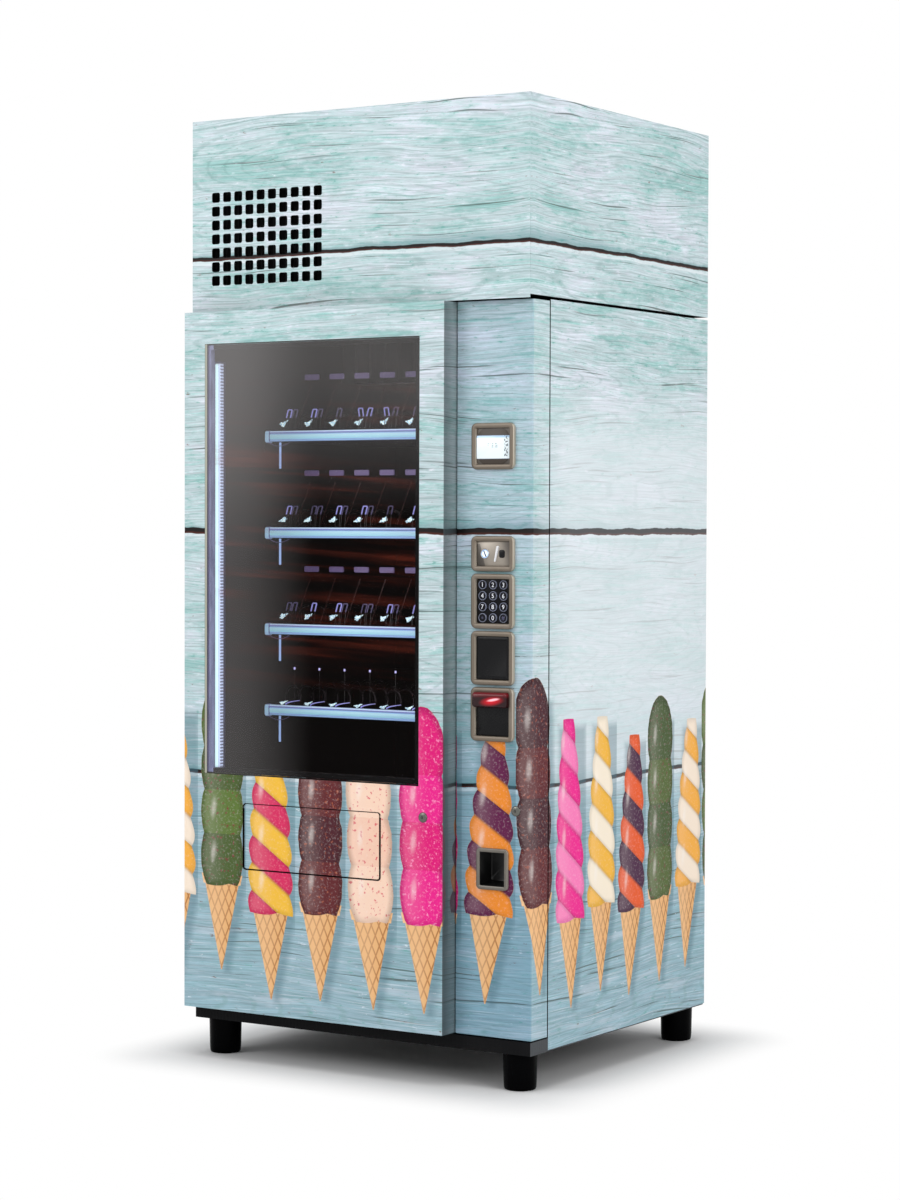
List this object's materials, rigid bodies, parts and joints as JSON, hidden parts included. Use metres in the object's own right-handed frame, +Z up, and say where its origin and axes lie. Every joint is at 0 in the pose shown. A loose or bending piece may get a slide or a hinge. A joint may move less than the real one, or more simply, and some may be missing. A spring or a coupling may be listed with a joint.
{
  "type": "ice cream vending machine",
  "caption": "Free-standing glass-fronted ice cream vending machine with spiral trays, a payment column, a push-in pickup flap and a cooling unit in a roof housing.",
  "frame": {"origin": "on the floor under the middle of the machine, at the bottom of its bounding box", "axes": "+Z up, -Y to the front that the customer faces, +X to the customer's right"},
  "size_m": [0.864, 0.816, 2.05],
  "materials": {
    "printed_film": "satin printed film over painted sheet steel",
    "frame_black": "matt black powder coat",
    "foot_rubber": "smooth glossy black",
    "window_glass": "clear sealed unit",
    "seal_rubber": "matt",
    "lamp_cover": "frosted, lit",
    "liner_metal": "satin",
    "module_champagne": "satin champagne",
    "key_metal": "satin",
    "lock_steel": "polished",
    "tray_blue": "satin pale blue",
    "spiral_steel": "bright wire",
    "coil_aluminium": "mill finish",
    "fan_black": "matt",
    "compressor_black": "semi-gloss"
  },
  "bodies": {
    "machine_frame": {"base_frame": "frame_black", "foot_front_left": "foot_rubber", "foot_front_right": "foot_rubber", "foot_rear_left": "foot_rubber", "foot_rear_right": "foot_rubber", "cabinet_body": "printed_film", "top_housing": "printed_film", "housing_front_panel": "printed_film", "condenser": "coil_aluminium", "compressor": "compressor_black", "evaporator": "coil_aluminium"},
    "door": {"door_leaf": "printed_film", "window_glass": "window_glass", "door_gasket": "seal_rubber", "light_bar": "lamp_cover", "delivery_bin": "liner_metal", "display_module": "module_champagne", "coin_module": "module_champagne", "keypad_panel": "module_champagne", "card_module": "module_champagne", "bill_module": "module_champagne", "coin_cup": "module_champagne"},
    "pickup_flap": {"pickup_flap": "printed_film"},
    "coin_return_lever": {"coin_return_lever": "lock_steel"},
    "key_1": {"key_1": "key_metal"},
    "key_2": {"key_2": "key_metal"},
    "key_3": {"key_3": "key_metal"},
    "key_4": {"key_4": "key_metal"},
    "key_5": {"key_5": "key_metal"},
    "key_6": {"key_6": "key_metal"},
    "key_7": {"key_7": "key_metal"},
    "key_8": {"key_8": "key_metal"},
    "key_9": {"key_9": "key_metal"},
    "key_10": {"key_10": "key_metal"},
    "key_11": {"key_11": "key_metal"},
    "key_12": {"key_12": "key_metal"},
    "window_lock": {"window_lock": "lock_steel"},
    "column_lock": {"column_lock": "lock_steel"},
    "tray_1": {"tray_1": "tray_blue"},
    "spiral_1_1": {"spiral_1_1": "spiral_steel"},
    "spiral_1_3": {"spiral_1_3": "spiral_steel"},
    "spiral_1_5": {"spiral_1_5": "spiral_steel"},
    "spiral_1_7": {"spiral_1_7": "spiral_steel"},
    "tray_2": {"tray_2": "tray_blue"},
    "spiral_2_1": {"spiral_2_1": "spiral_steel"},
    "spiral_2_3": {"spiral_2_3": "spiral_steel"},
    "spiral_2_5": {"spiral_2_5": "spiral_steel"},
    "spiral_2_7": {"spiral_2_7": "spiral_steel"},
    "tray_3": {"tray_3": "tray_blue"},
    "spiral_3_1": {"spiral_3_1": "spiral_steel"},
    "spiral_3_3": {"spiral_3_3": "spiral_steel"},
    "spiral_3_5": {"spiral_3_5": "spiral_steel"},
    "spiral_3_7": {"spiral_3_7": "spiral_steel"},
    "tray_4": {"tray_4": "tray_blue"},
    "spiral_4_1": {"spiral_4_1": "spiral_steel"},
    "spiral_4_3": {"spiral_4_3": "spiral_steel"},
    "spiral_4_5": {"spiral_4_5": "spiral_steel"},
    "spiral_4_7": {"spiral_4_7": "spiral_steel"},
    "condenser_fan": {"condenser_fan": "fan_black"},
    "evaporator_fan": {"evaporator_fan": "fan_black"}
  },
  "joints": [
    {"name": "door_hinge", "type": "hinge", "parent": "machine_frame", "child": "door", "pos_m": [-0.42, -0.306, 0.87], "axis": [0, 0, -1], "range_deg": [0, 100]},
    {"name": "pickup_flap_hinge", "type": "hinge", "parent": "door", "child": "pickup_flap", "pos_m": [-0.09075, -0.398, 0.556], "axis": [1, 0, 0], "range_deg": [0, 70], "stiffness_Nm_per_rad": 0.4, "springref_deg": -17.19},
    {"name": "coin_return_lever_turn", "type": "hinge", "parent": "door", "child": "coin_return_lever", "pos_m": [0.34725, -0.3605, 1.1099], "axis": [0, 1, 0], "range_deg": [0, 25], "stiffness_Nm_per_rad": 0.02, "springref_deg": -11.46},
    {"name": "key_1_press", "type": "slide", "parent": "door", "child": "key_1", "axis": [0, 1, 0], "range_m": [0, 0.0015], "stiffness_N_per_m": 600, "springref_m": -0.0005},
    {"name": "key_2_press", "type": "slide", "parent": "door", "child": "key_2", "axis": [0, 1, 0], "range_m": [0, 0.0015], "stiffness_N_per_m": 600, "springref_m": -0.0005},
    {"name": "key_3_press", "type": "slide", "parent": "door", "child": "key_3", "axis": [0, 1, 0], "range_m": [0, 0.0015], "stiffness_N_per_m": 600, "springref_m": -0.0005},
    {"name": "key_4_press", "type": "slide", "parent": "door", "child": "key_4", "axis": [0, 1, 0], "range_m": [0, 0.0015], "stiffness_N_per_m": 600, "springref_m": -0.0005},
    {"name": "key_5_press", "type": "slide", "parent": "door", "child": "key_5", "axis": [0, 1, 0], "range_m": [0, 0.0015], "stiffness_N_per_m": 600, "springref_m": -0.0005},
    {"name": "key_6_press", "type": "slide", "parent": "door", "child": "key_6", "axis": [0, 1, 0], "range_m": [0, 0.0015], "stiffness_N_per_m": 600, "springref_m": -0.0005},
    {"name": "key_7_press", "type": "slide", "parent": "door", "child": "key_7", "axis": [0, 1, 0], "range_m": [0, 0.0015], "stiffness_N_per_m": 600, "springref_m": -0.0005},
    {"name": "key_8_press", "type": "slide", "parent": "door", "child": "key_8", "axis": [0, 1, 0], "range_m": [0, 0.0015], "stiffness_N_per_m": 600, "springref_m": -0.0005},
    {"name": "key_9_press", "type": "slide", "parent": "door", "child": "key_9", "axis": [0, 1, 0], "range_m": [0, 0.0015], "stiffness_N_per_m": 600, "springref_m": -0.0005},
    {"name": "key_10_press", "type": "slide", "parent": "door", "child": "key_10", "axis": [0, 1, 0], "range_m": [0, 0.0015], "stiffness_N_per_m": 600, "springref_m": -0.0005},
    {"name": "key_11_press", "type": "slide", "parent": "door", "child": "key_11", "axis": [0, 1, 0], "range_m": [0, 0.0015], "stiffness_N_per_m": 600, "springref_m": -0.0005},
    {"name": "key_12_press", "type": "slide", "parent": "door", "child": "key_12", "axis": [0, 1, 0], "range_m": [0, 0.0015], "stiffness_N_per_m": 600, "springref_m": -0.0005},
    {"name": "window_lock_turn", "type": "hinge", "parent": "door", "child": "window_lock", "pos_m": [0.1955, -0.404, 0.5605], "axis": [0, 1, 0], "range_deg": [0, 90]},
    {"name": "column_lock_turn", "type": "hinge", "parent": "door", "child": "column_lock", "pos_m": [0.3935, -0.358, 0.581], "axis": [0, 1, 0], "range_deg": [0, 90]},
    {"name": "tray_1_slide", "type": "slide", "parent": "machine_frame", "child": "tray_1", "axis": [0, -1, 0], "range_m": [0, 0.095]},
    {"name": "tray_2_slide", "type": "slide", "parent": "machine_frame", "child": "tray_2", "axis": [0, -1, 0], "range_m": [0, 0.095]},
    {"name": "tray_3_slide", "type": "slide", "parent": "machine_frame", "child": "tray_3", "axis": [0, -1, 0], "range_m": [0, 0.095]},
    {"name": "tray_4_slide", "type": "slide", "parent": "machine_frame", "child": "tray_4", "axis": [0, -1, 0], "range_m": [0, 0.095]},
    {"name": "spiral_1_1_turn", "type": "hinge", "parent": "tray_1", "child": "spiral_1_1", "pos_m": [-0.334, 0.2897, 1.38784], "axis": [0, 1, 0], "continuous": true},
    {"name": "spiral_1_3_turn", "type": "hinge", "parent": "tray_1", "child": "spiral_1_3", "pos_m": [-0.198, 0.2897, 1.38784], "axis": [0, 1, 0], "continuous": true},
    {"name": "spiral_1_5_turn", "type": "hinge", "parent": "tray_1", "child": "spiral_1_5", "pos_m": [-0.062, 0.2897, 1.38784], "axis": [0, 1, 0], "continuous": true},
    {"name": "spiral_1_7_turn", "type": "hinge", "parent": "tray_1", "child": "spiral_1_7", "pos_m": [0.074, 0.2897, 1.38784], "axis": [0, 1, 0], "continuous": true},
    {"name": "spiral_2_1_turn", "type": "hinge", "parent": "tray_2", "child": "spiral_2_1", "pos_m": [-0.334, 0.2897, 1.17225], "axis": [0, 1, 0], "continuous": true},
    {"name": "spiral_2_3_turn", "type": "hinge", "parent": "tray_2", "child": "spiral_2_3", "pos_m": [-0.198, 0.2897, 1.17225], "axis": [0, 1, 0], "continuous": true},
    {"name": "spiral_2_5_turn", "type": "hinge", "parent": "tray_2", "child": "spiral_2_5", "pos_m": [-0.062, 0.2897, 1.17225], "axis": [0, 1, 0], "continuous": true},
    {"name": "spiral_2_7_turn", "type": "hinge", "parent": "tray_2", "child": "spiral_2_7", "pos_m": [0.074, 0.2897, 1.17225], "axis": [0, 1, 0], "continuous": true},
    {"name": "spiral_3_1_turn", "type": "hinge", "parent": "tray_3", "child": "spiral_3_1", "pos_m": [-0.334, 0.2897, 0.95626], "axis": [0, 1, 0], "continuous": true},
    {"name": "spiral_3_3_turn", "type": "hinge", "parent": "tray_3", "child": "spiral_3_3", "pos_m": [-0.198, 0.2897, 0.95626], "axis": [0, 1, 0], "continuous": true},
    {"name": "spiral_3_5_turn", "type": "hinge", "parent": "tray_3", "child": "spiral_3_5", "pos_m": [-0.062, 0.2897, 0.95626], "axis": [0, 1, 0], "continuous": true},
    {"name": "spiral_3_7_turn", "type": "hinge", "parent": "tray_3", "child": "spiral_3_7", "pos_m": [0.074, 0.2897, 0.95626], "axis": [0, 1, 0], "continuous": true},
    {"name": "spiral_4_1_turn", "type": "hinge", "parent": "tray_4", "child": "spiral_4_1", "pos_m": [-0.334, 0.2897, 0.77432], "axis": [0, 1, 0], "continuous": true},
    {"name": "spiral_4_3_turn", "type": "hinge", "parent": "tray_4", "child": "spiral_4_3", "pos_m": [-0.198, 0.2897, 0.77432], "axis": [0, 1, 0], "continuous": true},
    {"name": "spiral_4_5_turn", "type": "hinge", "parent": "tray_4", "child": "spiral_4_5", "pos_m": [-0.062, 0.2897, 0.77432], "axis": [0, 1, 0], "continuous": true},
    {"name": "spiral_4_7_turn", "type": "hinge", "parent": "tray_4", "child": "spiral_4_7", "pos_m": [0.074, 0.2897, 0.77432], "axis": [0, 1, 0], "continuous": true},
    {"name": "condenser_fan_spin", "type": "hinge", "parent": "machine_frame", "child": "condenser_fan", "pos_m": [-0.232, -0.2633, 1.7683], "axis": [0, 1, 0], "continuous": true},
    {"name": "evaporator_fan_spin", "type": "hinge", "parent": "machine_frame", "child": "evaporator_fan", "pos_m": [-0.098, 0.0987, 1.5377], "axis": [0, 1, 0], "continuous": true}
  ]
}
